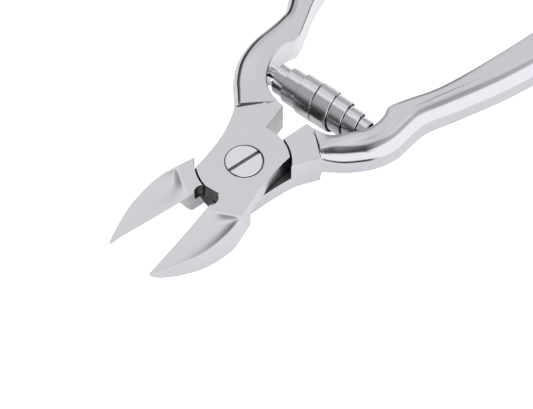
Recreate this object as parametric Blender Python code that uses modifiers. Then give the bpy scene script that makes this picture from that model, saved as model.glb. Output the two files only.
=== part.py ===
"""Nail nipper: two crossed levers in a lap joint, held by a slotted screw and opened by a barrel spring.

The frame's origin is on the pivot axis, in the plane of the underside. +X runs from the pivot to the
handles, +Y towards the front lever's handle, and +Z up, out of the screw's slotted head. The nipper is
modelled open. Each lever's mesh is laid out in its closed place, where the cutting edges meet on the
X axis, and the lever is then turned about the pivot by half the opening angle.
"""

import math

import bmesh
import bpy
from mathutils import Matrix, Vector

MM = 0.001

# Driving dimensions, in millimetres and degrees.
JOINT_THICKNESS = 7.2
HANDLE_THICKNESS = 6.3
HANDLE_MIDDLE = 4.55
HALF_OPENING = 8.8
CLEARANCE = 0.28
LAP_GAP = 0.3

TIP_X = -30.5
EDGE_GAP = 0.15
TIP_RISE = 1.6
TIP_THICKNESS = 0.3
BELLY_LENGTH = 15.5
BELLY_CURVE = 0.6
ROOT_BEVEL = 0.16
BLADE_BEVEL = 0.75
BEVEL_START_X = -11.3
BEVEL_RUN = 3.1
HOLLOW_DEPTH = 0.35
HOLLOW_START_X = -13.0
HOLLOW_SLANT = 2.4
HOLLOW_SPAN = 0.95
HOLLOW_SKEW = 1.5
JAW_SHOULDER_RADIUS = 9.13
HANDLE_SHOULDER_RADIUS = 8.67
NOTCH_FLAT_X = -8.35
NOTCH_RADIUS = 1.5
NOTCH_CENTRE = (-10.1, 0.65)
NOTCH_DEPTH = 3.0
STOP_FACE_LEAN = 0.05
HANDLE_END_X = 110.0
HANDLE_END_LENGTH = 3.2
HANDLE_END_ANGLES = (0.0, 20.0, 40.0, 58.0, 74.0, 85.0)
HANDLE_END_THINNEST = 0.35
SHOULDER_RUN = 0.12
OUTER_ROUND = 2.0
SHOULDER_ROUND = 0.9
INNER_ROUND = 0.7
SHARP_ROUND = 0.08
CROWN = 0.15
CUTTER_OVERRUN = 2.0

SCREW_HEAD_RADIUS = 3.44
SCREW_HEAD_THICKNESS = 1.6
SCREW_SHANK_RADIUS = 2.25
SCREW_RUN = 0.26
SCREW_SET_IN = 0.03
SCREW_CHAMFER = 0.12
SLOT_WIDTH = 0.65
SLOT_DEPTH = 0.7
SLOT_LENGTH = 10.0
SLOT_ANGLE = -10.0

SPRING_CENTRE = (20.27, -0.51)
SPRING_LEAN = 4.5
SPRING_WALL = 0.95
SPRING_FRONT_END = -10.2
SPRING_STEPS = ((2.3, 1.3), (3.0, 2.0), (3.4, 3.1), (3.8, 7.6), (3.3, 2.7), (2.75, 2.4), (2.2, 1.2))
PIN_RADIUS = 0.9
PIN_LENGTH = 4.0
FRONT_PIN_PLACE = -11.7
BACK_PIN_PLACE = 11.3

# Plan curves of the levers in their closed place, as (x, y) in millimetres, each smoothed between its
# points. The back lever's are its mirror image. The two levers are ground by hand and differ a little.
JAW_TIP = ((TIP_X, -0.4), (-28.0, -1.95), (-25.0, -3.6), (-22.0, -5.0), (-19.5, -5.8))
HANDLE_GRIP = (((39.0, 9.7), (39.0, 15.4)), ((50.0, 10.5), (50.0, 17.4)), ((62.0, 10.7), (62.0, 18.2)),
               ((75.0, 9.8), (75.0, 17.5)), ((88.0, 7.9), (88.0, 15.2)), ((99.0, 5.7), (99.0, 12.2)),
               ((HANDLE_END_X, 3.1), (HANDLE_END_X, 8.9)))
FRONT_SHAPE = {
    "jaw": JAW_TIP + ((-16.5, -6.35), (-13.5, -6.6), (-10.6, -6.45), (-7.0, -6.05), (-3.5, -5.8), (0.0, -5.75),
                      (3.0, -6.05), (5.7, -6.4)),
    "waist": ((-5.9, 6.6), (-3.3, 6.45), (0.0, 6.42), (3.0, 6.62), (6.2, 7.3), (7.8, 7.8), (9.0, 8.2)),
    "stop": 1.0,
    "handle": (((14.5, 2.4), (9.0, 8.2)), ((15.0, 3.6), (10.1, 9.05)), ((15.6, 4.8), (11.7, 10.25)),
               ((16.4, 5.9), (13.7, 11.8)), ((17.6, 6.9), (15.9, 13.05)), ((19.3, 7.75), (18.4, 14.05)),
               ((21.6, 8.4), (21.5, 14.5)), ((24.1, 8.55), (24.4, 14.4)), ((26.4, 8.05), (27.1, 13.85)),
               ((27.9, 7.2), (29.3, 13.45)), ((29.8, 7.35), (31.1, 13.25)), ((32.5, 8.1), (33.4, 13.3)),
               *HANDLE_GRIP),
}
BACK_SHAPE = {
    "jaw": JAW_TIP + ((-16.5, -6.6), (-13.5, -7.0), (-10.6, -6.85), (-7.0, -6.4), (-3.5, -6.0), (0.0, -5.85),
                      (3.0, -6.05), (5.7, -6.4)),
    "waist": ((-6.16, 6.35), (-3.3, 6.15), (0.0, 6.1), (3.0, 6.15), (6.2, 6.4), (8.8, 7.15), (11.3, 8.15)),
    "stop": 0.55,
    "handle": (((14.4, 2.1), (11.3, 8.15)), ((15.0, 3.6), (12.0, 8.9)), ((15.6, 4.8), (13.0, 9.85)),
               ((16.4, 5.9), (14.5, 11.2)), ((17.6, 6.9), (16.5, 12.55)), ((19.3, 7.75), (18.8, 13.8)),
               ((21.6, 8.4), (21.5, 14.6)), ((24.1, 8.55), (24.3, 14.9)), ((26.4, 8.05), (27.1, 14.5)),
               ((27.9, 7.2), (29.4, 14.1)), ((29.8, 7.35), (31.4, 13.9)), ((32.5, 8.1), (33.8, 14.2)),
               *HANDLE_GRIP),
}

# How finely the curves are cut.
JAW_STATIONS = (TIP_X, -30.1, -29.5, -28.6, -27.4, -25.8, -23.8, -21.6, -19.2, -16.8, -15.0, -13.9, -13.0)
ROOT_STATIONS = ((-12.0, -9.9), (-10.8, -9.3), (NOTCH_FLAT_X - 0.02, NOTCH_FLAT_X - 0.02))
WAIST_STATIONS = (-4.5, -2.5, 0.0, 2.5, 4.2)
BLOCK_SHARES = ((0.005, 0.05), (0.5, 0.45), (0.96, 0.75))
ARC_STEPS = 7
SPANS_PER_RIB = 2
TOP_POINTS = 6
ROUND_POINTS = 4
SCREW_SIDES = 40
SPRING_SIDES = 24
PIN_SIDES = 16

STEEL = (0.72, 0.72, 0.74, 1.0)
SATIN = (0.62, 0.62, 0.64, 1.0)


def clear_scene():
    """Remove every object, so that the part is alone."""
    for item in list(bpy.data.objects):
        bpy.data.objects.remove(item, do_unlink=True)


def make_collection(name):
    """A new collection in the scene."""
    collection = bpy.data.collections.new(name)
    bpy.context.scene.collection.children.link(collection)
    return collection


def make_material(name, colour, roughness):
    """A metal with the given colour and roughness."""
    material = bpy.data.materials.new(name)
    material.use_nodes = True
    shader = material.node_tree.nodes["Principled BSDF"]
    shader.inputs["Base Color"].default_value = colour
    shader.inputs["Metallic"].default_value = 1.0
    shader.inputs["Roughness"].default_value = roughness
    material.diffuse_color = colour
    return material


def smooth_step(value):
    """A ramp from 0 to 1 with level ends."""
    value = min(max(value, 0.0), 1.0)
    return value * value * (3.0 - 2.0 * value)


def spline_point(points, place):
    """The point at a place along a Catmull-Rom curve, where place counts the given points."""
    index = min(max(int(place), 0), len(points) - 2)
    part = place - index
    before = points[max(index - 1, 0)]
    start = points[index]
    end = points[index + 1]
    after = points[min(index + 2, len(points) - 1)]
    result = []
    for a, b, c, d in zip(before, start, end, after):
        linear = c - a
        square = 2.0 * a - 5.0 * b + 4.0 * c - d
        cube = 3.0 * (b - c) + d - a
        result.append(b + 0.5 * part * (linear + part * (square + part * cube)))
    return tuple(result)


def curve_y(points, x):
    """The height of a plan curve at x, for a curve whose points run along +X."""
    low, high = 0.0, float(len(points) - 1)
    for _ in range(40):
        middle = 0.5 * (low + high)
        if spline_point(points, middle)[0] < x:
            low = middle
        else:
            high = middle
    return spline_point(points, low)[1]


def jaw_bottom(x):
    """Underside of the jaw's outer wall: full depth at the joint, rising to the tip in a curve."""
    reach = min(max((x - TIP_X) / BELLY_LENGTH, 0.0), 1.0)
    return (JOINT_THICKNESS + TIP_RISE - TIP_THICKNESS) * (1.0 - reach ** BELLY_CURVE)


def jaw_bevel(x):
    """Share of the jaw's width that is ground away under its cutting edge."""
    return ROOT_BEVEL + (BLADE_BEVEL - ROOT_BEVEL) * smooth_step((BEVEL_START_X - x) / BEVEL_RUN)


def jaw_top(x):
    """Upper face of the jaw, which lifts a little above the joint towards the tip."""
    reach = min(max((HOLLOW_START_X - x) / (HOLLOW_START_X - TIP_X), 0.0), 1.0)
    return JOINT_THICKNESS + TIP_RISE * reach ** 1.5


def section(tops, bottoms, rounds, hollow=0.0, crown=0.0, bevel=0.0):
    """Outline of one rib as (across, offset, height), from the south top corner round by north.

    across is 0 at the south edge and 1 at the north edge, followed by an offset in millimetres. tops,
    bottoms and rounds hold the heights and edge radii at the south and north edges. hollow is the depth of
    the ground face, crown the rise of a handle's back, and bevel the share of the width that is cut away
    below the north edge, down to the underside.
    """
    points = []
    south_top, north_top = tops
    south_bottom, north_bottom = bottoms
    south_round, north_round = rounds
    quarter = []
    for step in range(ROUND_POINTS):
        angle = math.radians(90.0 * step / (ROUND_POINTS - 1))
        quarter.append((1.0 - math.cos(angle), 1.0 - math.sin(angle)))
    for inset, drop in quarter:
        points.append((0.0, south_round * inset, south_top - south_round * drop))
    for step in range(1, TOP_POINTS):
        share = step / TOP_POINTS
        from_edge = min((1.0 - share) / HOLLOW_SPAN, 1.0)
        dip = hollow * math.sin(math.pi * from_edge ** HOLLOW_SKEW)
        rise = crown * 4.0 * share * (1.0 - share)
        inset = south_round * (1.0 - share) - north_round * share
        level = south_top + (north_top - south_top) * share
        points.append((share, inset, level + rise - dip))
    for inset, drop in reversed(quarter):
        points.append((1.0, -north_round * inset, north_top - north_round * drop))
    for inset, drop in quarter:
        points.append((1.0 - bevel, -north_round * inset, north_bottom + north_round * drop))
    for inset, drop in reversed(quarter):
        points.append((0.0, south_round * inset, south_bottom + south_round * drop))
    return points


def slab(hollow=0.0, top=JOINT_THICKNESS, bottom=0.0, bevel=0.0):
    """Section with level faces and sharp edges, as the joint and the jaws have."""
    return section((top, top), (bottom, bottom), (SHARP_ROUND, SHARP_ROUND), hollow=hollow, bevel=bevel)


def jaw_ribs(outline):
    """Ribs of the jaw, from the tip to the end of its hollow face."""
    ribs = []
    for x in JAW_STATIONS:
        reach = (x - TIP_X) / (HOLLOW_START_X - TIP_X)
        outer_x = x + HOLLOW_SLANT * smooth_step(reach)
        north = (x, -EDGE_GAP)
        south = (outer_x, curve_y(outline, outer_x))
        depth = HOLLOW_DEPTH * smooth_step(reach * 2.0) * smooth_step((1.0 - reach) * 5.0)
        ribs.append((south, north, slab(depth, jaw_top(x), jaw_bottom(x), jaw_bevel(x))))
    return ribs


def joint_ribs(shape):
    """Ribs of the lap disc, whose ends are arcs about the pivot that clear the other lever's shoulders."""
    left = JAW_SHOULDER_RADIUS - CLEARANCE
    right = HANDLE_SHOULDER_RADIUS - CLEARANCE
    jaw, waist = shape["jaw"], shape["waist"]
    flat = slab()
    ribs = []
    for x, outer_x in ROOT_STATIONS:
        ribs.append(((outer_x, curve_y(jaw, outer_x)), (x, -EDGE_GAP), slab(bevel=jaw_bevel(x))))
    start = math.acos(-NOTCH_FLAT_X / left)
    end = math.asin(waist[0][1] / left)
    for step in range(ARC_STEPS):
        angle = start + (end - start) * step / (ARC_STEPS - 1)
        x = -left * math.cos(angle)
        ribs.append(((x, curve_y(jaw, x)), (x, left * math.sin(angle)), flat))
    for x in WAIST_STATIONS:
        ribs.append(((x, curve_y(jaw, x)), (x, curve_y(waist, x)), flat))
    start = math.asin(jaw[-1][1] / right)
    for step in range(ARC_STEPS):
        angle = start * (1.0 - step / (ARC_STEPS - 1))
        x = right * math.cos(angle)
        ribs.append(((x, right * math.sin(angle)), (x, curve_y(waist, x)), flat))
    block_end = shape["handle"][0][0][0]
    for south_share, north_share in BLOCK_SHARES:
        x = right + (waist[-1][0] - right) * north_share
        south = (right + (block_end - right) * south_share, shape["stop"] + STOP_FACE_LEAN * south_share)
        ribs.append((south, (x, curve_y(waist, x)), flat))
    return ribs


def handle_ribs(line):
    """Ribs of the handle, from the step at its shoulder to its rounded end."""
    south_line = [rib[0] for rib in line]
    north_line = [rib[1] for rib in line]
    half = 0.5 * HANDLE_THICKNESS
    top, bottom = HANDLE_MIDDLE + half, HANDLE_MIDDLE - half
    ribs = [(south_line[0], north_line[0], slab())]
    for step in range((len(line) - 2) * SPANS_PER_RIB + 1):
        place = step / SPANS_PER_RIB
        south = spline_point(south_line, place)
        north = spline_point(north_line, place)
        if step == 0:
            south = (south[0] + SHOULDER_RUN, south[1] + SHOULDER_RUN)
            north = (north[0] + SHOULDER_RUN, north[1] + SHOULDER_RUN)
        near = smooth_step(place / 2.0)
        tops = (JOINT_THICKNESS + (top - JOINT_THICKNESS) * near, top)
        bottoms = (bottom * near, bottom)
        rounds = (SHARP_ROUND + (INNER_ROUND - SHARP_ROUND) * smooth_step(place / 4.0),
                  SHOULDER_ROUND + (OUTER_ROUND - SHOULDER_ROUND) * near)
        ribs.append((south, north, section(tops, bottoms, rounds, crown=CROWN)))
    start, end = line[-2], line[-1]
    straight = HANDLE_END_X - HANDLE_END_LENGTH
    ends = [(0.5 * (start[0][0] + straight), 1.0)]
    for angle in HANDLE_END_ANGLES:
        size = math.cos(math.radians(angle))
        ends.append((straight + HANDLE_END_LENGTH * math.sin(math.radians(angle)), size))
    for x, size in ends:
        share = (x - start[0][0]) / (HANDLE_END_X - start[0][0])
        south_y = start[0][1] + share * (end[0][1] - start[0][1])
        north_y = start[1][1] + share * (end[1][1] - start[1][1])
        centre = 0.5 * (south_y + north_y)
        reach = 0.5 * (north_y - south_y) * size
        height = half * (HANDLE_END_THINNEST + (1.0 - HANDLE_END_THINNEST) * size)
        rounds = (min(INNER_ROUND, 0.5 * reach), min(OUTER_ROUND, 0.9 * height, 0.6 * reach))
        tops, bottoms = (HANDLE_MIDDLE + height,) * 2, (HANDLE_MIDDLE - height,) * 2
        shape = section(tops, bottoms, rounds, crown=CROWN * size)
        ribs.append(((x, centre - reach), (x, centre + reach), shape))
    return ribs


def loft(ribs):
    """A closed mesh through the ribs, in metres, with a flat cap at each end."""
    mesh = bmesh.new()
    loops = []
    for south, north, shape in ribs:
        start = Vector((south[0], south[1], 0.0))
        across = Vector((north[0] - south[0], north[1] - south[1], 0.0))
        sideways = across.normalized()
        loop = []
        for share, offset, height in shape:
            place = start + across * share + sideways * offset
            loop.append(mesh.verts.new((place.x * MM, place.y * MM, height * MM)))
        loops.append(loop)
    count = len(loops[0])
    for here, there in zip(loops, loops[1:]):
        for index in range(count):
            after = (index + 1) % count
            mesh.faces.new((here[index], here[after], there[after], there[index]))
    mesh.faces.new(loops[0])
    mesh.faces.new(reversed(loops[-1]))
    bmesh.ops.remove_doubles(mesh, verts=mesh.verts, dist=1e-6)
    bmesh.ops.recalc_face_normals(mesh, faces=mesh.faces)
    return mesh


def add_object(name, mesh, material, collection):
    """Turn a bmesh into a smooth-shaded object."""
    data = bpy.data.meshes.new(name)
    mesh.to_mesh(data)
    mesh.free()
    data.materials.append(material)
    data.shade_smooth()
    data.set_sharp_from_angle(angle=math.radians(30.0))
    item = bpy.data.objects.new(name, data)
    collection.objects.link(item)
    return item


def hide_cutter(item, cutters):
    """Move an object to the cutters, drawn as wire and left out of the part."""
    for collection in list(item.users_collection):
        collection.objects.unlink(item)
    cutters.objects.link(item)
    item.hide_render = True
    item.display_type = 'WIRE'


def cylinder_cutter(name, centre, radius, low, high, cutters):
    """A round cutter between two heights, in millimetres."""
    bpy.ops.mesh.primitive_cylinder_add(vertices=SCREW_SIDES, radius=radius * MM, depth=(high - low) * MM)
    item = bpy.context.object
    item.name = name
    item.data.transform(Matrix.Translation(Vector((centre[0], centre[1], 0.5 * (low + high))) * MM))
    hide_cutter(item, cutters)
    return item


def flat_cutter(name, outline, low, high, cutters):
    """A flat outline, in millimetres, made a solid between two heights."""
    curve = bpy.data.curves.new(name, 'CURVE')
    curve.dimensions = '2D'
    curve.fill_mode = 'BOTH'
    curve.extrude = 0.5 * (high - low) * MM
    line = curve.splines.new('POLY')
    line.points.add(len(outline) - 1)
    for point, (x, y) in zip(line.points, outline):
        point.co = (x * MM, y * MM, 0.0, 1.0)
    line.use_cyclic_u = True
    guide = bpy.data.objects.new(name, curve)
    bpy.context.scene.collection.objects.link(guide)
    shape = guide.evaluated_get(bpy.context.evaluated_depsgraph_get())
    data = bpy.data.meshes.new_from_object(shape)
    bpy.data.objects.remove(guide, do_unlink=True)
    mesh = bmesh.new()
    mesh.from_mesh(data)
    bmesh.ops.remove_doubles(mesh, verts=mesh.verts, dist=1e-6)
    bmesh.ops.recalc_face_normals(mesh, faces=mesh.faces)
    mesh.to_mesh(data)
    mesh.free()
    data.transform(Matrix.Translation((0.0, 0.0, 0.5 * (low + high) * MM)))
    item = bpy.data.objects.new(name, data)
    bpy.context.scene.collection.objects.link(item)
    hide_cutter(item, cutters)
    return item


def cut(item, cutter):
    """Take a cutter out of an object."""
    modifier = item.modifiers.new(cutter.name, 'BOOLEAN')
    modifier.operation = 'DIFFERENCE'
    modifier.solver = 'EXACT'
    modifier.object = cutter


def lap_outline():
    """The space that the other lever's half of the lap joint turns in: a larger arc at the jaws' side."""
    points = []
    for step in range(SCREW_SIDES):
        angle = math.radians(90.0 + 180.0 * step / (SCREW_SIDES - 1))
        points.append((JAW_SHOULDER_RADIUS * math.cos(angle), JAW_SHOULDER_RADIUS * math.sin(angle)))
    for step in range(SCREW_SIDES):
        angle = math.radians(-90.0 + 180.0 * step / (SCREW_SIDES - 1))
        points.append((HANDLE_SHOULDER_RADIUS * math.cos(angle), HANDLE_SHOULDER_RADIUS * math.sin(angle)))
    return points


def spring_axis():
    """Direction of the spring's axis, from the front lever's handle to the back lever's, and its centre."""
    lean = math.radians(SPRING_LEAN)
    direction = Vector((math.sin(lean), -math.cos(lean), 0.0))
    centre = Vector((SPRING_CENTRE[0], SPRING_CENTRE[1], HANDLE_MIDDLE))
    return centre, direction


def along_spring(distance):
    """Placement with local Z along the spring's axis, at a distance in millimetres from its centre."""
    centre, direction = spring_axis()
    turn = direction.to_track_quat('Z', 'X').to_matrix().to_4x4()
    return Matrix.Translation((centre + direction * distance) * MM) @ turn


def make_lever(name, side, material, parts, cutters):
    """One forged lever. side is +1 for the lever whose handle is at +Y and whose lap half is on top."""
    shape = FRONT_SHAPE if side > 0 else BACK_SHAPE
    mesh = loft(jaw_ribs(shape["jaw"]) + joint_ribs(shape) + handle_ribs(shape["handle"]))
    if side < 0:
        bmesh.ops.scale(mesh, vec=(1.0, -1.0, 1.0), verts=mesh.verts)
        bmesh.ops.recalc_face_normals(mesh, faces=mesh.faces)
    lever = add_object(name, mesh, material, parts)
    middle = 0.5 * JOINT_THICKNESS
    below, above = -CUTTER_OVERRUN, JOINT_THICKNESS + CUTTER_OVERRUN
    if side > 0:
        low, high = below, middle + 0.5 * LAP_GAP
    else:
        low, high = middle - 0.5 * LAP_GAP, above
    lap = flat_cutter(name + "_lap_cutter", lap_outline(), low, high, cutters)
    notch_place = (NOTCH_CENTRE[0], NOTCH_CENTRE[1] * side)
    notch_low = JOINT_THICKNESS - NOTCH_DEPTH
    notch = cylinder_cutter(name + "_notch_cutter", notch_place, NOTCH_RADIUS, notch_low, above, cutters)
    shank = SCREW_SHANK_RADIUS + SCREW_RUN
    bore = cylinder_cutter(name + "_bore_cutter", (0.0, 0.0), shank, below, above, cutters)
    tools = [lap, notch, bore]
    if side > 0:
        recess_low = JOINT_THICKNESS - SCREW_HEAD_THICKNESS - SCREW_RUN
        seat = SCREW_HEAD_RADIUS + SCREW_RUN
        tools.append(cylinder_cutter(name + "_recess_cutter", (0.0, 0.0), seat, recess_low, above, cutters))
    for tool in tools:
        tool.rotation_euler.z = math.radians(side * HALF_OPENING)
        cut(lever, tool)
    lever.rotation_euler.z = math.radians(side * HALF_OPENING)
    pin_place = FRONT_PIN_PLACE if side > 0 else BACK_PIN_PLACE
    bpy.ops.mesh.primitive_cylinder_add(vertices=PIN_SIDES, radius=(PIN_RADIUS + CLEARANCE) * MM,
                                        depth=(PIN_LENGTH + 2.0 * CLEARANCE) * MM)
    pin_bore = bpy.context.object
    pin_bore.name = name + "_pin_cutter"
    pin_bore.matrix_world = along_spring(pin_place)
    hide_cutter(pin_bore, cutters)
    cut(lever, pin_bore)
    return lever


def turned(name, profile, sides, material, collection):
    """A turned solid about local Z from a closed profile of (radius, height) in millimetres."""
    data = bpy.data.meshes.new(name)
    points = [(radius * MM, 0.0, height * MM) for radius, height in profile]
    closed = profile[0][0] > 0.0
    edges = [(index, index + 1) for index in range(len(points) - 1)]
    if closed:
        edges.append((len(points) - 1, 0))
    data.from_pydata(points, edges, [])
    data.materials.append(material)
    item = bpy.data.objects.new(name, data)
    collection.objects.link(item)
    lathe = item.modifiers.new("turn", 'SCREW')
    lathe.steps = sides
    lathe.render_steps = sides
    lathe.use_merge_vertices = True
    lathe.merge_threshold = 1e-6
    lathe.use_normal_calculate = False
    lathe.use_smooth_shade = True
    return item


def make_screw(material, parts, cutters):
    """Slotted pivot screw: its head lies flush in the front lever, its threaded end flush with the underside."""
    top = JOINT_THICKNESS - SCREW_SET_IN
    under_head = JOINT_THICKNESS - SCREW_HEAD_THICKNESS
    profile = [(0.0, top), (SCREW_HEAD_RADIUS - SCREW_CHAMFER, top), (SCREW_HEAD_RADIUS, top - SCREW_CHAMFER),
               (SCREW_HEAD_RADIUS, under_head), (SCREW_SHANK_RADIUS, under_head), (SCREW_SHANK_RADIUS, 0.0),
               (0.0, 0.0)]
    screw = turned("pivot_screw", profile, SCREW_SIDES, material, parts)
    bpy.ops.mesh.primitive_cube_add(size=1.0)
    slot = bpy.context.object
    slot.name = "slot_cutter"
    slot.data.transform(Matrix.Diagonal((SLOT_LENGTH * MM, SLOT_WIDTH * MM, 2.0 * SLOT_DEPTH * MM, 1.0)))
    slot.location = (0.0, 0.0, top * MM)
    slot.rotation_euler.z = math.radians(SLOT_ANGLE)
    hide_cutter(slot, cutters)
    cut(screw, slot)
    return screw


def make_spring(material, parts):
    """Barrel spring as its stepped tube: each step is one turn of the strip, the widest in the middle."""
    outer, inner = [], []
    place = SPRING_FRONT_END
    for radius, length in SPRING_STEPS:
        outer += [(radius, place), (radius, place + length)]
        inner += [(radius - SPRING_WALL, place), (radius - SPRING_WALL, place + length)]
        place += length
    spring = turned("barrel_spring", list(reversed(outer)) + inner, SPRING_SIDES, material, parts)
    spring.matrix_world = along_spring(0.0)
    return spring


def make_pin(name, place, material, parts):
    """Plain pin that is pressed into a lever and holds one end of the spring."""
    bpy.ops.mesh.primitive_cylinder_add(vertices=PIN_SIDES, radius=PIN_RADIUS * MM, depth=PIN_LENGTH * MM)
    pin = bpy.context.object
    pin.name = name
    pin.data.name = name
    pin.data.materials.append(material)
    pin.data.shade_smooth()
    pin.data.set_sharp_from_angle(angle=math.radians(30.0))
    pin.matrix_world = along_spring(place)
    for collection in list(pin.users_collection):
        collection.objects.unlink(pin)
    parts.objects.link(pin)
    return pin


def main():
    """Build the whole nipper."""
    clear_scene()
    parts = make_collection("nail_nipper")
    cutters = make_collection("cutters")
    make_lever("front_lever", 1, make_material("front_lever_steel", STEEL, 0.25), parts, cutters)
    make_lever("back_lever", -1, make_material("back_lever_steel", STEEL, 0.25), parts, cutters)
    make_screw(make_material("screw_steel", SATIN, 0.3), parts, cutters)
    make_spring(make_material("spring_steel", STEEL, 0.15), parts)
    make_pin("front_spring_pin", FRONT_PIN_PLACE, make_material("front_pin_steel", SATIN, 0.3), parts)
    make_pin("back_spring_pin", BACK_PIN_PLACE, make_material("back_pin_steel", SATIN, 0.3), parts)


main()
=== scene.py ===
"""Looks of the nail nipper: finely lofted levers, strip spring, steels, studio and camera.

Lengths are in millimetres and angles in degrees, except for the studio's, which are in metres like the
frame. The levers' outlines are the part's own, in the same closed place, apart from three points of the
back handle's inner edge by its shoulder, which lie up to 0.5 mm nearer to the centre line. Edge rounds and
hollows are finer than the part's.
"""

import math

import bmesh
import bpy
from mathutils import Matrix, Vector


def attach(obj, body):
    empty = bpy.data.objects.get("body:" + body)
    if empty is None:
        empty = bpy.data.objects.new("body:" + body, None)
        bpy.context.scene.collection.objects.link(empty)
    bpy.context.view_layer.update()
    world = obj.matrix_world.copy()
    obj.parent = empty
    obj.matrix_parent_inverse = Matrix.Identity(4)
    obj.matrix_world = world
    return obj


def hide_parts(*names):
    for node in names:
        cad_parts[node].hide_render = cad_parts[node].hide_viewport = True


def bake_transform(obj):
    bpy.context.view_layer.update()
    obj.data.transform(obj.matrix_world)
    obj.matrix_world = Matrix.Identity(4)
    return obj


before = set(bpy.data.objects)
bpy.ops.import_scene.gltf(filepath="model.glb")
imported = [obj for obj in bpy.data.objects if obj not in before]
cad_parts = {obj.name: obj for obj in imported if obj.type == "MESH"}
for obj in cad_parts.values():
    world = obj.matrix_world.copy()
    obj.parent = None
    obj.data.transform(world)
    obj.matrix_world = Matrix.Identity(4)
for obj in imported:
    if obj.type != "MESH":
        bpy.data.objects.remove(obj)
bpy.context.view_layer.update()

MM = 0.001

# The levers, as in the part.
JOINT_THICKNESS = 7.2
HANDLE_THICKNESS = 6.3
HANDLE_MIDDLE = 4.55
HALF_OPENING = 8.8
CLEARANCE = 0.28
LAP_GAP = 0.3
TIP_X = -30.5
EDGE_GAP = 0.15
TIP_RISE = 1.6
TIP_RISE_CURVE = 1.5
TIP_THICKNESS = 0.3
BELLY_LENGTH = 15.5
BELLY_CURVE = 0.6
ROOT_BEVEL = 0.16
BLADE_BEVEL = 0.75
BEVEL_START_X = -11.3
BEVEL_RUN = 3.1

# The ground face of a jaw: its depth as a share of the jaw's width, where it ends at the joint and how
# slanted that crease is, how near the ridge it is deepest, and the shares of the jaw over which it runs out
# at the ridge and at the cutting edge.
HOLLOW_SHARE = 0.062
HOLLOW_START_X = -13.0
HOLLOW_SLANT = 2.4
HOLLOW_SKEW = 1.5
HOLLOW_RUN_OUT = (0.045, 0.22)

# The lap joint, the notch behind the cutting edges, and the end of a handle.
JAW_SHOULDER_RADIUS = 9.13
HANDLE_SHOULDER_RADIUS = 8.67
NOTCH_FLAT_X = -8.35
NOTCH_RADIUS = 1.5
NOTCH_CENTRE = (-10.1, 0.65)
NOTCH_DEPTH = 3.0
STOP_FACE_LEAN = 0.05
HANDLE_END_X = 110.0
HANDLE_END_LENGTH = 3.2
HANDLE_END_THINNEST = 0.35

# Edge rounds. Each handle's outer edge has (upper, lower) radii at the shoulder and along the grip, how
# many ribs it takes to change from one to the other, and the lean at which the two arcs meet.
EDGE_ROUND = 0.09
EVEN_SPLIT = 45.0
FRONT_ROUNDS = ((0.8, 2.5), (1.6, 3.1), 7.0, 45.0)
BACK_ROUNDS = ((2.4, 1.9), (3.9, 2.2), 3.0, 60.0)
INNER_ROUND = 0.3
INNER_RUN = 4.0
CROWN = 0.15
END_SWEEP = 86.0
END_ROUND_OF_HEIGHT = 0.9
END_ROUND_OF_WIDTH = 0.6
END_INNER_OF_WIDTH = 0.5

# The step where a handle rises out of the joint: it rolls along the shoulder's direction.
SHOULDER_DIRECTION = (0.74, 0.67)
ROLL_START = 0.04
ROLL_POINTS = 7
ROLL_FADE = 0.75
NORTH_ROLL = 0.5
SOUTH_ROLL = 0.08
STEP_POINTS = 4
RISE_RUN = 6.0
STEP_SHARE = 0.35
ROLL_FOOT = 0.2

# The screw and its seat. MOUTH_CHAMFER breaks the edges of every cut.
MOUTH_CHAMFER = 0.07
SCREW_HEAD_RADIUS = 3.44
SCREW_HEAD_THICKNESS = 1.6
SCREW_SHANK_RADIUS = 2.25
SCREW_RUN = 0.2
SCREW_SHIFT = 0.09
SCREW_SET_IN = 0.02
SCREW_EDGE = 0.07
SCREW_END_CHAMFER = 0.2
SLOT_WIDTH = 0.65
SLOT_DEPTH = 0.7
SLOT_ANGLE = -10.0
SLOT_REACH = 5.0
SLOT_FLARE = 0.05

# The spring: a strip, with the outer radius and axial place of its middle line after each whole turn, and
# the pins that hold its ends.
SPRING_CENTRE = (20.27, -0.51)
SPRING_LEAN = 4.5
STRIP_WIDTH = 3.5
STRIP_THICKNESS = 0.24
STRIP_EDGE = 0.072
STRIP_START = 90.0
STRIP_TURNS = ((2.15, -9.9), (2.85, -7.7), (3.4, -5.15), (3.8, -1.85), (3.8, 1.85), (3.25, 4.8),
               (2.75, 7.6), (2.2, 9.3))
STRIP_STEPS = 72
FRONT_PIN_PLACE = -11.7
BACK_PIN_PLACE = 11.3
PIN_RADIUS = 0.9
PIN_LENGTH = 4.0
PIN_EDGE = 0.2
PIN_EDGE_MIDDLE = 0.06

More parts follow.
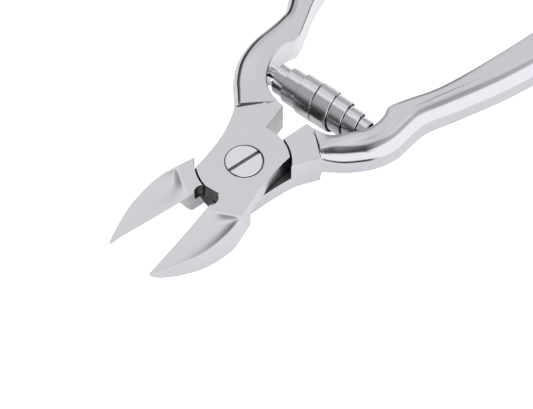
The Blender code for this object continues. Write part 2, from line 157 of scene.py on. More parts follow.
# Plan curves of the levers in their closed place, as (x, y) in millimetres, each smoothed between its
# points. Both have the handle at +Y, and the back lever is mirrored once it is built. The two are ground by
# hand and differ a little.
JAW_TIP = ((TIP_X, -0.4), (-28.0, -1.95), (-25.0, -3.6), (-22.0, -5.0), (-19.5, -5.8))
HANDLE_GRIP = (((39.0, 9.7), (39.0, 15.4)), ((50.0, 10.5), (50.0, 17.4)), ((62.0, 10.7), (62.0, 18.2)),
               ((75.0, 9.8), (75.0, 17.5)), ((88.0, 7.9), (88.0, 15.2)), ((99.0, 5.7), (99.0, 12.2)),
               ((HANDLE_END_X, 3.1), (HANDLE_END_X, 8.9)))
FRONT_SHAPE = {
    "jaw": JAW_TIP + ((-16.5, -6.35), (-13.5, -6.6), (-10.6, -6.45), (-7.0, -6.05), (-3.5, -5.8),
                      (0.0, -5.75), (3.0, -6.05), (5.7, -6.4)),
    "waist": ((-5.9, 6.6), (-3.3, 6.45), (0.0, 6.42), (3.0, 6.62), (6.2, 7.3), (7.8, 7.8), (9.0, 8.2)),
    "stop": 1.0,
    "handle": (((14.5, 2.4), (9.0, 8.2)), ((15.0, 3.6), (10.1, 9.05)), ((15.6, 4.8), (11.7, 10.25)),
               ((16.4, 5.9), (13.7, 11.8)), ((17.6, 6.9), (15.9, 13.05)), ((19.3, 7.75), (18.4, 14.05)),
               ((21.6, 8.4), (21.5, 14.5)), ((24.1, 8.55), (24.4, 14.4)), ((26.4, 8.05), (27.1, 13.85)),
               ((27.9, 7.2), (29.3, 13.45)), ((29.8, 7.35), (31.1, 13.25)), ((32.5, 8.1), (33.4, 13.3)),
               *HANDLE_GRIP),
}
BACK_SHAPE = {
    "jaw": JAW_TIP + ((-16.5, -6.6), (-13.5, -7.0), (-10.6, -6.85), (-7.0, -6.4), (-3.5, -6.0),
                      (0.0, -5.85), (3.0, -6.05), (5.7, -6.4)),
    "waist": ((-6.16, 6.35), (-3.3, 6.15), (0.0, 6.1), (3.0, 6.15), (6.2, 6.4), (8.8, 7.15), (11.3, 8.15)),
    "stop": 0.55,
    "handle": (((14.4, 2.1), (11.3, 8.15)), ((15.0, 3.6), (12.0, 8.9)), ((15.6, 4.8), (13.0, 9.85)),
               ((16.5, 5.7), (14.5, 11.2)), ((17.8, 6.45), (16.5, 12.55)), ((19.4, 7.35), (18.8, 13.8)),
               ((21.6, 8.4), (21.5, 14.6)), ((24.1, 8.55), (24.3, 14.9)), ((26.4, 8.05), (27.1, 14.5)),
               ((27.9, 7.2), (29.4, 14.1)), ((29.8, 7.35), (31.4, 13.9)), ((32.5, 8.1), (33.8, 14.2)),
               *HANDLE_GRIP),
}

# How finely the curves are cut.
JAW_SPANS = 44
CREASE_SPANS = 5
CREASE_SHARE = 0.03
JAW_SPACING = 1.3
ARC_STEPS = 18
SPANS_PER_RIB = 8
END_STEPS = 12
TOP_POINTS = 20
ROUND_POINTS = 10
WALL_POINTS = 2
ARC_SIDES = 96
BISECTIONS = 40
MERGE_DISTANCE = 1e-6
CREASE_ANGLE = 32.0
ROOT_END_X = NOTCH_FLAT_X - 0.02
ROOT_STATIONS = ((-12.5, -10.2), (-12.0, -9.9), (-11.4, -9.6), (-10.8, -9.3), (ROOT_END_X, ROOT_END_X))
WAIST_STATIONS = (-5.4, -4.5, -3.5, -2.5, -1.2, 0.0, 1.2, 2.5, 3.4, 4.2, 4.8)
BLOCK_SHARES = ((0.005, 0.05), (0.25, 0.25), (0.5, 0.45), (0.96, 0.75))

# Steel finishes, and one near-black painted shade: colour; roughness and how much it varies; grain, the
# scale of the fine marks along X, Y and Z, per metre; and how strongly the marks tilt the light and
# change the colour.
PLAIN_GRAIN = (900.0, 900.0, 900.0)
CUT_GRAIN = (3000.0, 3000.0, 300.0)
STEELS = {
    "satin_flat": ((0.626, 0.620, 0.660), 0.24, 0.04, (500.0, 3500.0, 3500.0), 0.02, 0.03),
    "polished": ((0.600, 0.600, 0.637), 0.09, 0.02, PLAIN_GRAIN, 0.01, 0.03),
    "hollow_ground": ((0.680, 0.685, 0.715), 0.25, 0.01, (300.0, 2500.0, 300.0), 0.0, 0.015),
    "brushed": ((0.700, 0.695, 0.670), 0.42, 0.10, CUT_GRAIN, 0.3, 0.4),
    # Not a finish: a near-black painted shade, for the lap cut, the notch, the arc walls across the lap gap
    # and a line on each handle's step.
    "painted_shade": ((0.110, 0.110, 0.110), 0.45, 0.10, CUT_GRAIN, 0.3, 0.8),
    "bright_wall": ((0.770, 0.770, 0.800), 0.15, 0.03, PLAIN_GRAIN, 0.01, 0.03),
    "screw_head": ((0.730, 0.725, 0.770), 0.26, 0.04, (3500.0, 500.0, 3500.0), 0.02, 0.03),
    "slot_floor": ((0.400, 0.400, 0.395), 0.35, 0.08, (500.0, 3000.0, 3000.0), 0.3, 0.4),
    "spring_strip": ((0.660, 0.660, 0.690), 0.16, 0.06, (4000.0, 1500.0, 4000.0), 0.02, 0.15),
}
MARK_DETAIL = 3.0
MARK_HEIGHT = 0.0001
LEVER_STEELS = ("satin_flat", "polished", "hollow_ground", "brushed", "painted_shade", "bright_wall")
SATIN, POLISHED, HOLLOW, BRUSHED, PAINTED_SHADE, BRIGHT = range(len(LEVER_STEELS))

# The studio: a floor that glows a little, more so for the camera, and one lamp over it.
FLOOR_RADIUS = 4.0
FLOOR_DROP = 0.0002
FLOOR_SIDES = 64
FLOOR_COLOUR = (0.92, 0.92, 0.925, 1.0)
FLOOR_ROUGHNESS = 0.9
FLOOR_SPECULAR = 0.1
WHITE = (1.0, 1.0, 1.0, 1.0)
FLOOR_GLOW = 0.32
FLOOR_SEEN_GLOW = 0.6
LAMP_SIZE = 1.6
LAMP_HEIGHT = 1.5
LAMP_POWER = 3.8

# What the steel reflects: a dim dome with soft boxes of (direction, inner angle, outer angle, brightness),
# and a dark horizon, over a range of the direction's height, which the low boxes reach down into.
DOME_BRIGHTNESS = 0.1
HORIZON_BRIGHTNESS = 0.05
HORIZON_RAMP = (0.15, 0.25)
SOFT_BOXES = (
    ((0.50, 0.30, 0.81), 15.0, 32.0, 0.85),
    ((-0.30, 0.42, 0.86), 8.0, 45.0, 0.42),
    ((0.42, -0.38, 0.82), 4.0, 27.0, 0.6),
)
SIDE_BOX = ((-0.55, -0.72, 0.42), 24.0, 38.0, 1.35)
LOW_BOXES = (
    ((0.25, -0.87, 0.42), 28.0, 44.0, 1.4),
    ((0.80, 0.45, 0.15), 15.0, 42.0, 0.6),
)

# The camera: seen from above the jaws' side with a long lens, aimed a little right of and below the pivot.
CAMERA_TILT = 33.81
CAMERA_TURN = -47.28
CAMERA_DISTANCE = 727.3
CAMERA_LENS = 270.17
CAMERA_SENSOR = 36.0
AIM_RIGHT = 4.05
AIM_DOWN = 7.89


def smooth_step(value):
    """A ramp from 0 to 1 with level ends."""
    value = min(max(value, 0.0), 1.0)
    return value * value * (3.0 - 2.0 * value)


def spline_point(points, place):
    """The point at a place along a Catmull-Rom curve, where place counts the given points."""
    index = min(max(int(place), 0), len(points) - 2)
    part = place - index
    before = points[max(index - 1, 0)]
    start = points[index]
    end = points[index + 1]
    after = points[min(index + 2, len(points) - 1)]
    result = []
    for a, b, c, d in zip(before, start, end, after):
        linear = c - a
        square = 2.0 * a - 5.0 * b + 4.0 * c - d
        cube = 3.0 * (b - c) + d - a
        result.append(b + 0.5 * part * (linear + part * (square + part * cube)))
    return tuple(result)


def curve_y(points, x):
    """The height of a plan curve at x, for a curve whose points run along +X."""
    low, high = 0.0, float(len(points) - 1)
    for _ in range(BISECTIONS):
        middle = 0.5 * (low + high)
        if spline_point(points, middle)[0] < x:
            low = middle
        else:
            high = middle
    return spline_point(points, low)[1]


def jaw_bottom(x):
    """Underside of the jaw's outer wall: full depth at the joint, rising to the tip in a curve."""
    reach = min(max((x - TIP_X) / BELLY_LENGTH, 0.0), 1.0)
    return (JOINT_THICKNESS + TIP_RISE - TIP_THICKNESS) * (1.0 - reach ** BELLY_CURVE)


def jaw_bevel(x):
    """Share of the jaw's width that is ground away under its cutting edge."""
    return ROOT_BEVEL + (BLADE_BEVEL - ROOT_BEVEL) * smooth_step((BEVEL_START_X - x) / BEVEL_RUN)


def jaw_top(x):
    """Upper face of the jaw, which lifts a little above the joint towards the tip."""
    reach = min(max((HOLLOW_START_X - x) / (HOLLOW_START_X - TIP_X), 0.0), 1.0)
    return JOINT_THICKNESS + TIP_RISE * reach ** TIP_RISE_CURVE


def edge_arc(rounds):
    """(inset, drop) from the wall up to the top face, by a lower arc and then an upper one."""
    upper, lower, split = rounds
    split_sine, split_cosine = math.sin(math.radians(split)), math.cos(math.radians(split))
    reach = upper * split_sine + lower * (1.0 - split_sine)
    points = []
    for step in range(ROUND_POINTS):
        lean = math.radians(90.0 * (1.0 - step / (ROUND_POINTS - 1)))
        if math.sin(lean) > split_sine:
            drop = upper * (1.0 - split_cosine) + lower * (split_cosine - math.cos(lean))
            points.append((lower * (1.0 - math.sin(lean)), drop))
        else:
            points.append((reach - upper * math.sin(lean), upper * (1.0 - math.cos(lean))))
    return points


def section(tops, bottoms, south_round, north_rounds, hollow=(0.0, 1.0), crown=0.0, bevel=0.0):
    """Outline of one rib as (across, offset, height), from the south wall's top round by north.

    across is 0 at the south edge and 1 at the north edge, followed by an offset in millimetres. The
    south edges have one radius, the north edges an edge_arc. hollow is the depth of the ground face
    and how much of the jaw lies between the rib and the face's root, where the face runs out later
    towards the north edge. crown is the rise of a handle's back, and bevel the share of the width
    that is cut away below the north edge.
    """
    points = []
    south_top, north_top = tops
    south_bottom, north_bottom = bottoms
    south_arc = edge_arc((south_round, south_round, EVEN_SPLIT))
    north_arc = edge_arc(north_rounds)
    under_arc = edge_arc((north_rounds[1], north_rounds[1], EVEN_SPLIT))
    south_reach, north_reach = south_arc[-1][0], north_arc[-1][0]
    for inset, drop in south_arc:
        points.append((0.0, inset, south_top - drop))
    for step in range(1, TOP_POINTS):
        share = step / TOP_POINTS
        run_out = HOLLOW_RUN_OUT[0] + (HOLLOW_RUN_OUT[1] - HOLLOW_RUN_OUT[0]) * share
        shallow = (1.0 - min(hollow[1] / run_out, 1.0)) ** 2
        dip = hollow[0] * (1.0 - shallow) * math.sin(math.pi * (1.0 - share) ** HOLLOW_SKEW)
        rise = crown * 4.0 * share * (1.0 - share)
        inset = south_reach * (1.0 - share) - north_reach * share
        level = south_top + (north_top - south_top) * share
        points.append((share, inset, level + rise - dip))
    for inset, drop in reversed(north_arc):
        points.append((1.0, -inset, north_top - drop))
    wall_top = north_top - north_arc[0][1]
    wall_bottom = north_bottom + under_arc[0][1]
    for step in range(1, WALL_POINTS + 1):
        share = step / (WALL_POINTS + 1)
        points.append((1.0 - bevel * share, 0.0, wall_top + (wall_bottom - wall_top) * share))
    for inset, drop in under_arc:
        points.append((1.0 - bevel, -inset, north_bottom + drop))
    for step in range(1, TOP_POINTS):
        share = 1.0 - step / TOP_POINTS
        rise = crown * 4.0 * share * (1.0 - share)
        inset = south_reach * (1.0 - share) - north_reach * share
        level = south_bottom + (north_bottom - south_bottom) * share
        points.append((share * (1.0 - bevel), inset, level - rise))
    for inset, drop in reversed(south_arc):
        points.append((0.0, inset, south_bottom + drop))
    return points


def slab(hollow=(0.0, 1.0), top=JOINT_THICKNESS, bottom=0.0, bevel=0.0):
    """Section with level faces and fine edges, as the joint and the jaws have."""
    edges = (EDGE_ROUND, EDGE_ROUND, EVEN_SPLIT)
    return section((top, top), (bottom, bottom), EDGE_ROUND, edges, hollow=hollow, bevel=bevel)


def jaw_ribs(outline):
    """Ribs of the jaw, from the tip to the crease at the end of its hollow face."""
    ribs = []
    reaches = [(step / JAW_SPANS) ** JAW_SPACING * (1.0 - CREASE_SHARE) for step in range(JAW_SPANS + 1)]
    reaches += [1.0 - CREASE_SHARE * (1.0 - step / CREASE_SPANS) for step in range(1, CREASE_SPANS + 1)]
    for reach in reaches:
        x = TIP_X + (HOLLOW_START_X - TIP_X) * reach
        outer_x = x + HOLLOW_SLANT * smooth_step(reach)
        north = (x, -EDGE_GAP)
        south = (outer_x, curve_y(outline, outer_x))
        depth = HOLLOW_SHARE * smooth_step(reach) * (north[1] - south[1])
        shape = slab((depth, 1.0 - reach), jaw_top(x), jaw_bottom(x), jaw_bevel(x))
        ribs.append((south, north, shape, "jaw"))
    return ribs


def joint_ribs(shape):
    """Ribs of the lap disc, whose ends are arcs about the pivot that clear the other lever's shoulders."""
    left = JAW_SHOULDER_RADIUS - CLEARANCE
    right = HANDLE_SHOULDER_RADIUS - CLEARANCE
    jaw, waist = shape["jaw"], shape["waist"]
    flat = slab()
    ribs = []
    for x, outer_x in ROOT_STATIONS:
        zone = "left arc" if x == ROOT_END_X else "joint"
        ribs.append(((outer_x, curve_y(jaw, outer_x)), (x, -EDGE_GAP), slab(bevel=jaw_bevel(x)), zone))
    start = math.acos(-NOTCH_FLAT_X / left)
    end = math.asin(waist[0][1] / left)
    for step in range(ARC_STEPS):
        angle = start + (end - start) * step / (ARC_STEPS - 1)
        x = -left * math.cos(angle)
        ribs.append(((x, curve_y(jaw, x)), (x, left * math.sin(angle)), flat, "left arc"))
    for x in WAIST_STATIONS:
        ribs.append(((x, curve_y(jaw, x)), (x, curve_y(waist, x)), flat, "joint"))
    start = math.asin(jaw[-1][1] / right)
    for step in range(ARC_STEPS):
        angle = start * (1.0 - step / (ARC_STEPS - 1))
        x = right * math.cos(angle)
        ribs.append(((x, right * math.sin(angle)), (x, curve_y(waist, x)), flat, "right arc"))
    block_end = shape["handle"][0][0][0]
    for south_share, north_share in BLOCK_SHARES:
        x = right + (waist[-1][0] - right) * north_share
        south = (right + (block_end - right) * south_share, shape["stop"] + STOP_FACE_LEAN * south_share)
        ribs.append((south, (x, curve_y(waist, x)), flat, "stop"))
    return ribs


def handle_ribs(line, rounds):
    """Ribs of the handle, from the rolled step at its shoulder to its rounded end."""
    south_line = [rib[0] for rib in line]
    north_line = [rib[1] for rib in line]
    half = 0.5 * HANDLE_THICKNESS
    top, bottom = HANDLE_MIDDLE + half, HANDLE_MIDDLE - half
    step_rise = top - JOINT_THICKNESS
    ribs = [(south_line[0], north_line[0], slab(), "step")]
    places = []
    for step in range(ROLL_POINTS):
        angle = math.radians(90.0 * step / (ROLL_POINTS - 1))
        zone = "step" if step < STEP_POINTS else "handle"
        places.append((0.0, 1.0 - math.cos(angle), ROLL_FOOT + (1.0 - ROLL_FOOT) * math.sin(angle), zone))
    for step in range(1, (len(line) - 2) * SPANS_PER_RIB + 1):
        place = step / SPANS_PER_RIB
        places.append((place, max(1.0 - place / ROLL_FADE, 0.0), 1.0, "handle"))
    along = Vector(SHOULDER_DIRECTION)
    shoulder, grip_rounds, change_run, split = rounds
    for place, roll, lift, zone in places:
        south = Vector(spline_point(south_line, place))
        north = Vector(spline_point(north_line, place))
        if place < ROLL_FADE:
            south += along * (ROLL_START + SOUTH_ROLL * roll)
            north += along * (ROLL_START + NORTH_ROLL * roll)
        near = smooth_step(place / RISE_RUN)
        tops = (JOINT_THICKNESS + step_rise * near, JOINT_THICKNESS + step_rise * lift)
        bottoms = (bottom * near, bottom * lift)
        inner = EDGE_ROUND + (INNER_ROUND - EDGE_ROUND) * smooth_step(place / INNER_RUN)
        change = smooth_step(place / change_run)
        edges = [EDGE_ROUND + (first + (last - first) * change - EDGE_ROUND) * lift
                 for first, last in zip(shoulder, grip_rounds)]
        shape = section(tops, bottoms, inner, (*edges, split), crown=CROWN * near)
        ribs.append((tuple(south), tuple(north), shape, zone))
    start, end = line[-2], line[-1]
    straight = HANDLE_END_X - HANDLE_END_LENGTH
    ends = [(0.5 * (start[0][0] + straight), 1.0)]
    for step in range(END_STEPS):
        angle = math.radians(END_SWEEP * step / (END_STEPS - 1))
        ends.append((straight + HANDLE_END_LENGTH * math.sin(angle), math.cos(angle)))
    for x, size in ends:
        share = (x - start[0][0]) / (HANDLE_END_X - start[0][0])
        south_y = start[0][1] + share * (end[0][1] - start[0][1])
        north_y = start[1][1] + share * (end[1][1] - start[1][1])
        centre = 0.5 * (south_y + north_y)
        reach = 0.5 * (north_y - south_y) * size
        height = half * (HANDLE_END_THINNEST + (1.0 - HANDLE_END_THINNEST) * size)
        limit = min(END_ROUND_OF_HEIGHT * height, END_ROUND_OF_WIDTH * reach)
        edges = (min(grip_rounds[0], limit), min(grip_rounds[1], limit), split)
        inner = min(INNER_ROUND, END_INNER_OF_WIDTH * reach)
        tops, bottoms = (HANDLE_MIDDLE + height,) * 2, (HANDLE_MIDDLE - height,) * 2
        shape = section(tops, bottoms, inner, edges, crown=CROWN * size)
        ribs.append(((x, centre - reach), (x, centre + reach), shape, "handle"))
    return ribs


def finish_of(zone, index):
    """Which of the lever's steels, or its painted shade, a face has, from its rib's zone and its place
    round the section.
    """
    top_end = ROUND_POINTS + TOP_POINTS - 1
    north_end = top_end + 2 * ROUND_POINTS + WALL_POINTS
    bottom_end = north_end + TOP_POINTS - 1 + ROUND_POINTS
    on_south_wall = index >= bottom_end - 1
    on_north_wall = top_end + ROUND_POINTS - 1 <= index < north_end - ROUND_POINTS + 1
    if zone == "handle":
        return BRIGHT if on_south_wall else POLISHED
    if zone == "step":
        # The northern part of the step's top is painted shade: a dark line where the handle rises out of
        # the joint.
        return PAINTED_SHADE if ROUND_POINTS - 1 + STEP_SHARE * TOP_POINTS <= index < top_end else POLISHED
    if zone == "jaw":
        if ROUND_POINTS - 1 <= index < top_end:
            return HOLLOW
        return BRUSHED if top_end + ROUND_POINTS - 1 <= index < north_end else SATIN
    if zone == "stop":
        return BRUSHED if on_south_wall else SATIN
    # The arc walls that face the other lever across the lap gap are painted shade.
    if zone == "left arc":
        return PAINTED_SHADE if on_north_wall else SATIN
    if zone == "right arc":
        return PAINTED_SHADE if on_south_wall else SATIN
    return POLISHED if on_north_wall else SATIN


def loft(ribs):
    """A closed mesh through the ribs, in metres, with a flat cap at each end."""
    mesh = bmesh.new()
    loops = []
    for south, north, shape, _ in ribs:
        start = Vector((south[0], south[1], 0.0))
        across = Vector((north[0] - south[0], north[1] - south[1], 0.0))
        sideways = across.normalized()
        loop = []
        for share, offset, height in shape:
            place = start + across * share + sideways * offset
            loop.append(mesh.verts.new((place.x * MM, place.y * MM, height * MM)))
        loops.append(loop)
    count = len(loops[0])
    for rib, here, there in zip(ribs, loops, loops[1:]):
        for index in range(count):
            after = (index + 1) % count
            face = mesh.faces.new((here[index], here[after], there[after], there[index]))
            face.material_index = finish_of(rib[3], index)
    mesh.faces.new(loops[0])
    mesh.faces.new(reversed(loops[-1])).material_index = POLISHED
    bmesh.ops.remove_doubles(mesh, verts=mesh.verts, dist=MERGE_DISTANCE)
    bmesh.ops.recalc_face_normals(mesh, faces=mesh.faces)
    return mesh


def mesh_object(name, mesh, materials):
    """An object in the scene from a bmesh."""
    data = bpy.data.meshes.new(name)
    mesh.to_mesh(data)
    mesh.free()
    for material in materials:
        data.materials.append(material)
    item = bpy.data.objects.new(name, data)
    bpy.context.scene.collection.objects.link(item)
    return item


def stacked_cutter(outlines, material):
    """A closed solid through level outlines of (height, points), lowest first, in millimetres."""
    mesh = bmesh.new()
    loops = []
    for height, points in outlines:
        loops.append([mesh.verts.new((x * MM, y * MM, height * MM)) for x, y in points])
    count = len(loops[0])
    for here, there in zip(loops, loops[1:]):
        for index in range(count):
            after = (index + 1) % count
            mesh.faces.new((here[index], here[after], there[after], there[index]))
    mesh.faces.new(loops[0])
    mesh.faces.new(loops[-1])
    bmesh.ops.recalc_face_normals(mesh, faces=mesh.faces)
    return mesh_object("cutter", mesh, [material])


def circle(radius, centre=(0.0, 0.0)):
    """Points of a circle."""
    turns = [math.tau * step / ARC_SIDES for step in range(ARC_SIDES)]
    return [(centre[0] + radius * math.cos(turn), centre[1] + radius * math.sin(turn)) for turn in turns]


def lap_outline(grow):
    """The other lever's half of the lap joint and its clearance: a larger arc at the jaws' side."""
    points = []
    for radius, first in ((JAW_SHOULDER_RADIUS, 90.0), (HANDLE_SHOULDER_RADIUS, -90.0)):
        for step in range(ARC_SIDES):
            angle = math.radians(first + 180.0 * step / (ARC_SIDES - 1))
            points.append(((radius + grow) * math.cos(angle), (radius + grow) * math.sin(angle)))
    return points


def bake_modifiers(item):
    """Replace an object's mesh by what its modifiers make of it."""
    bpy.context.view_layer.update()
    shape = item.evaluated_get(bpy.context.evaluated_depsgraph_get())
    data = bpy.data.meshes.new_from_object(shape)
    item.modifiers.clear()
    item.data = data
    return item


def cut(item, cutters):
    """Take the cutters out of an object, whose cut faces get the cutters' materials."""
    for cutter in cutters:
        modifier = item.modifiers.new("cut", 'BOOLEAN')
        modifier.operation = 'DIFFERENCE'
        modifier.solver = 'EXACT'
        modifier.material_mode = 'TRANSFER'
        modifier.object = cutter
    bake_modifiers(item)
    for cutter in cutters:
        bpy.data.objects.remove(cutter, do_unlink=True)


def shade(item):
    """Smooth shading that keeps creases, with level faces shaded level."""
    item.data.shade_smooth()
    item.data.set_sharp_from_angle(angle=math.radians(CREASE_ANGLE))
    modifier = item.modifiers.new("level", 'WEIGHTED_NORMAL')
    modifier.keep_sharp = True
    bake_modifiers(item)


def make_lever(name, body, side, steels):
    """One forged lever. side is +1 for the lever whose handle is at +Y and whose lap half is on top."""
    shape, rounds = (FRONT_SHAPE, FRONT_ROUNDS) if side > 0 else (BACK_SHAPE, BACK_ROUNDS)
    mesh = loft(jaw_ribs(shape["jaw"]) + joint_ribs(shape) + handle_ribs(shape["handle"], rounds))
    if side < 0:
        bmesh.ops.scale(mesh, vec=(1.0, -1.0, 1.0), verts=mesh.verts)
        bmesh.ops.recalc_face_normals(mesh, faces=mesh.faces)
    lever = mesh_object(name, mesh, [steels[finish] for finish in LEVER_STEELS])
    brushed, painted_shade = steels["brushed"], steels["painted_shade"]
    top = JOINT_THICKNESS
    mouth = MOUTH_CHAMFER
    outline, wide_outline = lap_outline(0.0), lap_outline(2.0 * mouth)
    if side > 0:
        rise = 0.5 * (top + LAP_GAP)
        stack = [(-mouth, wide_outline), (mouth, outline), (rise, outline)]
    else:
        rise = 0.5 * (top - LAP_GAP)
        stack = [(rise, outline), (top - mouth, outline), (top + mouth, wide_outline)]
    # The lap cut and the notch leave near-black painted shade on the faces they cut, for the shade in the
    # lap gap and in the notch's pocket.
    lap = stacked_cutter(stack, painted_shade)
    place = (NOTCH_CENTRE[0], NOTCH_CENTRE[1] * side)
    notch = stacked_cutter([(top - NOTCH_DEPTH, circle(NOTCH_RADIUS, place)),
                            (top - mouth, circle(NOTCH_RADIUS, place)),
                            (top + mouth, circle(NOTCH_RADIUS + 2.0 * mouth, place))], painted_shade)
    shank = SCREW_SHANK_RADIUS + SCREW_RUN
    bore = stacked_cutter([(-mouth, circle(shank + 2.0 * mouth)), (mouth, circle(shank)),
                           (top + mouth, circle(shank))], brushed)
    cutters = [lap, notch, bore]
    if side > 0:
        seat = SCREW_HEAD_RADIUS + SCREW_RUN
        low = top - SCREW_HEAD_THICKNESS - SCREW_RUN
        cutters.append(stacked_cutter([(low, circle(seat)), (top - 0.5 * mouth, circle(seat)),
                                       (top + 0.5 * mouth, circle(seat + mouth))], brushed))
    cut(lever, cutters)
    shade(lever)
    lever.data.transform(Matrix.Rotation(math.radians(side * HALF_OPENING), 4, 'Z'))
    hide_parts(body)
    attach(lever, body)
    return lever


def turned(name, profile, material):
    """A turned solid about Z from a profile of (radius, height), which starts and ends on that axis."""
    mesh = bmesh.new()
    rings = []
    for radius, height in profile:
        if radius == 0.0:
            rings.append([mesh.verts.new((0.0, 0.0, height * MM))] * ARC_SIDES)
        else:
            rings.append([mesh.verts.new((x * MM, y * MM, height * MM)) for x, y in circle(radius)])
    for here, there in zip(rings, rings[1:]):
        for index in range(ARC_SIDES):
            after = (index + 1) % ARC_SIDES
            corners = list(dict.fromkeys((here[index], here[after], there[after], there[index])))
            mesh.faces.new(corners)
    bmesh.ops.recalc_face_normals(mesh, faces=mesh.faces)
    return mesh_object(name, mesh, [material])


def make_screw(steel, floor_steel):
    """Slotted pivot screw with a flat head and a threaded end that is flush with the underside."""
    top = JOINT_THICKNESS - SCREW_SET_IN
    under = JOINT_THICKNESS - SCREW_HEAD_THICKNESS
    head, shank, end = SCREW_HEAD_RADIUS, SCREW_SHANK_RADIUS, SCREW_END_CHAMFER
    profile = [(0.0, top), (head - SCREW_EDGE, top), (head, top - SCREW_EDGE), (head, under),
               (shank, under), (shank, end), (shank - end, 0.0), (0.0, 0.0)]
    screw = turned("pivot_screw_slotted", profile, steel)
    half = 0.5 * SLOT_WIDTH
    wide = half + 2.0 * SLOT_FLARE
    reach = SLOT_REACH
    low = [(-reach, -half), (reach, -half), (reach, half), (-reach, half)]
    high = [(-reach, -wide), (reach, -wide), (reach, wide), (-reach, wide)]
    stack = [(top - SLOT_DEPTH, low), (top - SLOT_FLARE, low), (top + SLOT_FLARE, high)]
    slot = stacked_cutter(stack, floor_steel)
    cut(screw, [slot])
    shade(screw)
    screw.data.transform(Matrix.Rotation(math.radians(SLOT_ANGLE), 4, 'Z'))
    screw.data.transform(Matrix.Translation((0.0, SCREW_SHIFT * MM, 0.0)))
    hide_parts("pivot_screw")
    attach(screw, "back_lever")
    return screw


def along_spring(distance):
    """Placement with local Z along the spring's axis, at a distance in millimetres from its centre."""
    lean = math.radians(SPRING_LEAN)
    direction = Vector((math.sin(lean), -math.cos(lean), 0.0))
    centre = Vector((SPRING_CENTRE[0], SPRING_CENTRE[1], HANDLE_MIDDLE))
    turn = direction.to_track_quat('Z', 'X').to_matrix().to_4x4()
    return Matrix.Translation((centre + direction * distance) * MM) @ turn


def make_spring(steel):
    """The spring as one strip: it winds out from the front lever to its widest turns and in to the back."""
    mesh = bmesh.new()
    turns = len(STRIP_TURNS) - 1
    steps = turns * STRIP_STEPS
    edge = STRIP_EDGE
    half = 0.5 * STRIP_WIDTH
    loops = []
    for step in range(steps + 1):
        radius, place = spline_point(STRIP_TURNS, step / STRIP_STEPS)
        inner = radius - STRIP_THICKNESS
        outline = ((radius, edge - half), (radius, half - edge), (radius - edge, half), (inner, half),
                   (inner, -half), (radius - edge, -half))
        angle = math.tau * step / STRIP_STEPS + math.radians(STRIP_START)
        loops.append([mesh.verts.new((r * math.cos(angle) * MM, r * math.sin(angle) * MM, (place + z) * MM))
                      for r, z in outline])
    count = len(loops[0])
    for here, there in zip(loops, loops[1:]):
        for index in range(count):
            after = (index + 1) % count
            mesh.faces.new((here[index], here[after], there[after], there[index]))
    mesh.faces.new(loops[0])
    mesh.faces.new(loops[-1])
    bmesh.ops.recalc_face_normals(mesh, faces=mesh.faces)
    spring = mesh_object("strip_spring", mesh, [steel])
    shade(spring)
    spring.data.transform(along_spring(0.0))
    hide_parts("barrel_spring")
    start = along_spring(STRIP_TURNS[0][1] - half).translation
    end = along_spring(STRIP_TURNS[-1][1] + half).translation
    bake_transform(spring)
    return spring


def make_pin(name, place, body, steel):
    """Plain pin with rounded ends, pressed into a lever, which holds one end of the spring."""
    half = 0.5 * PIN_LENGTH
    edge, middle = PIN_EDGE, PIN_EDGE_MIDDLE
    profile = [(0.0, half), (PIN_RADIUS - edge, half), (PIN_RADIUS - middle, half - middle),
               (PIN_RADIUS, half - edge), (PIN_RADIUS, edge - half), (PIN_RADIUS - middle, middle - half),
               (PIN_RADIUS - edge, -half), (0.0, -half)]
    pin = turned(name + "_turned", profile, steel)
    shade(pin)
    pin.data.transform(along_spring(place))
    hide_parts(name)
    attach(pin, body)
    return pin


def make_steel(name):
    """The bare steel of that name, whose fine marks vary its roughness, tilt and colour."""
    colour, roughness, spread, grain, bump, mottle = STEELS[name]
    material = bpy.data.materials.new(name)
    material.use_nodes = True
    nodes, links = material.node_tree.nodes, material.node_tree.links
    shader = nodes["Principled BSDF"]
    shader.inputs["Metallic"].default_value = 1.0
    place = nodes.new("ShaderNodeTexCoord")
    stretch = nodes.new("ShaderNodeMapping")
    stretch.inputs["Scale"].default_value = grain
    links.new(place.outputs["Object"], stretch.inputs["Vector"])
    marks = nodes.new("ShaderNodeTexNoise")
    marks.inputs["Scale"].default_value = 1.0
    marks.inputs["Detail"].default_value = MARK_DETAIL
    links.new(stretch.outputs["Vector"], marks.inputs["Vector"])
    rough = nodes.new("ShaderNodeMapRange")
    rough.inputs["To Min"].default_value = roughness - spread
    rough.inputs["To Max"].default_value = roughness + spread
    links.new(marks.outputs["Fac"], rough.inputs["Value"])
    links.new(rough.outputs["Result"], shader.inputs["Roughness"])
    tint = nodes.new("ShaderNodeMix")
    tint.data_type = 'RGBA'
    tint.inputs["A"].default_value = (*[channel * (1.0 - mottle) for channel in colour], 1.0)
    tint.inputs["B"].default_value = (*[min(channel * (1.0 + mottle), 1.0) for channel in colour], 1.0)
    links.new(marks.outputs["Fac"], tint.inputs["Factor"])
    links.new(tint.outputs["Result"], shader.inputs["Base Color"])
    relief = nodes.new("ShaderNodeBump")
    relief.inputs["Strength"].default_value = bump
    relief.inputs["Distance"].default_value = MARK_HEIGHT
    links.new(marks.outputs["Fac"], relief.inputs["Height"])
    links.new(relief.outputs["Normal"], shader.inputs["Normal"])
    return material


def combine(tree, operation, first, second):
    """Two values, or a value and a number, put together by a Math node."""
    node = tree.nodes.new("ShaderNodeMath")
    node.operation = operation
    tree.links.new(first, node.inputs[0])
    if isinstance(second, float):
        node.inputs[1].default_value = second
    else:
        tree.links.new(second, node.inputs[1])
    return node.outputs["Value"]


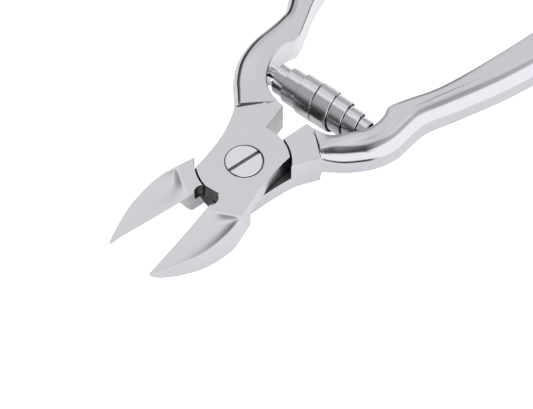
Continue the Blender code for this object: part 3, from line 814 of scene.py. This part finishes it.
def soft_box(tree, directions, box):
    """Brightness of one soft box, in every direction."""
    direction, inner, outer, brightness = box
    towards = tree.nodes.new("ShaderNodeVectorMath")
    towards.operation = 'DOT_PRODUCT'
    towards.inputs[1].default_value = Vector(direction).normalized()
    tree.links.new(directions, towards.inputs[0])
    spot = tree.nodes.new("ShaderNodeMapRange")
    spot.interpolation_type = 'SMOOTHSTEP'
    spot.inputs["From Min"].default_value = math.cos(math.radians(outer))
    spot.inputs["From Max"].default_value = math.cos(math.radians(inner))
    spot.inputs["To Max"].default_value = brightness
    tree.links.new(towards.outputs["Value"], spot.inputs["Value"])
    return spot.outputs["Result"]


def make_floor():
    """A plain, nearly white floor."""
    bpy.ops.mesh.primitive_circle_add(vertices=FLOOR_SIDES, radius=FLOOR_RADIUS, fill_type='NGON')
    floor = bpy.context.object
    floor.location.z = -FLOOR_DROP
    floor.name = "floor"
    material = bpy.data.materials.new("floor_white")
    material.use_nodes = True
    tree = material.node_tree
    shader = tree.nodes["Principled BSDF"]
    shader.inputs["Base Color"].default_value = FLOOR_COLOUR
    shader.inputs["Roughness"].default_value = FLOOR_ROUGHNESS
    shader.inputs["Specular IOR Level"].default_value = FLOOR_SPECULAR
    shader.inputs["Emission Color"].default_value = WHITE
    seen = tree.nodes.new("ShaderNodeLightPath").outputs["Is Camera Ray"]
    seen = combine(tree, 'MULTIPLY', seen, FLOOR_SEEN_GLOW)
    tree.links.new(combine(tree, 'ADD', seen, FLOOR_GLOW), shader.inputs["Emission Strength"])
    floor.data.materials.append(material)
    return floor


def make_world():
    """A grey dome with soft boxes in it, dark at the horizon, which the camera sees as plain white."""
    world = bpy.data.worlds.new("studio")
    bpy.context.scene.world = world
    world.use_nodes = True
    tree = world.node_tree
    place = tree.nodes.new("ShaderNodeTexCoord").outputs["Generated"]
    total = combine(tree, 'ADD', soft_box(tree, place, SOFT_BOXES[0]), DOME_BRIGHTNESS)
    for box in SOFT_BOXES[1:]:
        total = combine(tree, 'ADD', total, soft_box(tree, place, box))
    total = combine(tree, 'MAXIMUM', total, soft_box(tree, place, SIDE_BOX))
    height = tree.nodes.new("ShaderNodeSeparateXYZ")
    tree.links.new(place, height.inputs["Vector"])
    horizon = tree.nodes.new("ShaderNodeMapRange")
    horizon.interpolation_type = 'SMOOTHSTEP'
    horizon.inputs["From Min"].default_value = HORIZON_RAMP[0]
    horizon.inputs["From Max"].default_value = HORIZON_RAMP[1]
    horizon.inputs["To Min"].default_value = HORIZON_BRIGHTNESS
    tree.links.new(height.outputs["Z"], horizon.inputs["Value"])
    total = combine(tree, 'MULTIPLY', total, horizon.outputs["Result"])
    for box in LOW_BOXES:
        total = combine(tree, 'MAXIMUM', total, soft_box(tree, place, box))
    choice = tree.nodes.new("ShaderNodeMix")
    choice.inputs["B"].default_value = 1.0
    tree.links.new(tree.nodes.new("ShaderNodeLightPath").outputs["Is Camera Ray"], choice.inputs["Factor"])
    tree.links.new(total, choice.inputs["A"])
    tree.links.new(choice.outputs["Result"], tree.nodes["Background"].inputs["Strength"])
    tree.nodes["Background"].inputs["Color"].default_value = WHITE
    return world


def make_lights():
    """One large overhead light that whitens the floor; the steel reflects the dome instead."""
    light = bpy.data.lights.new("overhead", 'AREA')
    light.shape = 'DISK'
    light.size = LAMP_SIZE
    light.energy = LAMP_POWER
    lamp = bpy.data.objects.new("overhead", light)
    lamp.location.z = LAMP_HEIGHT
    lamp.visible_glossy = False
    lamp.visible_camera = False
    bpy.context.scene.collection.objects.link(lamp)
    return lamp


def make_camera():
    """A long lens that looks down on the nipper from the jaws' side."""
    camera = bpy.data.cameras.new("camera")
    camera.lens = CAMERA_LENS
    camera.sensor_width = CAMERA_SENSOR
    camera.clip_start = 0.05
    camera.clip_end = 20.0
    item = bpy.data.objects.new("camera", camera)
    item.rotation_euler = (math.radians(CAMERA_TILT), 0.0, math.radians(CAMERA_TURN))
    right, up, back = item.rotation_euler.to_matrix().transposed()
    pivot = Vector((0.0, 0.0, JOINT_THICKNESS))
    item.location = (pivot + right * AIM_RIGHT - up * AIM_DOWN + back * CAMERA_DISTANCE) * MM
    bpy.context.scene.collection.objects.link(item)
    bpy.context.scene.camera = item
    return item


def main():
    """Build every visible piece, then the studio."""
    bpy.context.scene.view_settings.view_transform = 'Standard'
    steels = {name: make_steel(name) for name in STEELS}
    make_lever("front_lever_forging", "front_lever", 1, steels)
    make_lever("back_lever_forging", "back_lever", -1, steels)
    make_screw(steels["screw_head"], steels["slot_floor"])
    make_spring(steels["spring_strip"])
    make_pin("front_spring_pin", FRONT_PIN_PLACE, "front_lever", steels["satin_flat"])
    make_pin("back_spring_pin", BACK_PIN_PLACE, "back_lever", steels["satin_flat"])
    make_floor()
    make_world()
    make_lights()
    make_camera()


main()
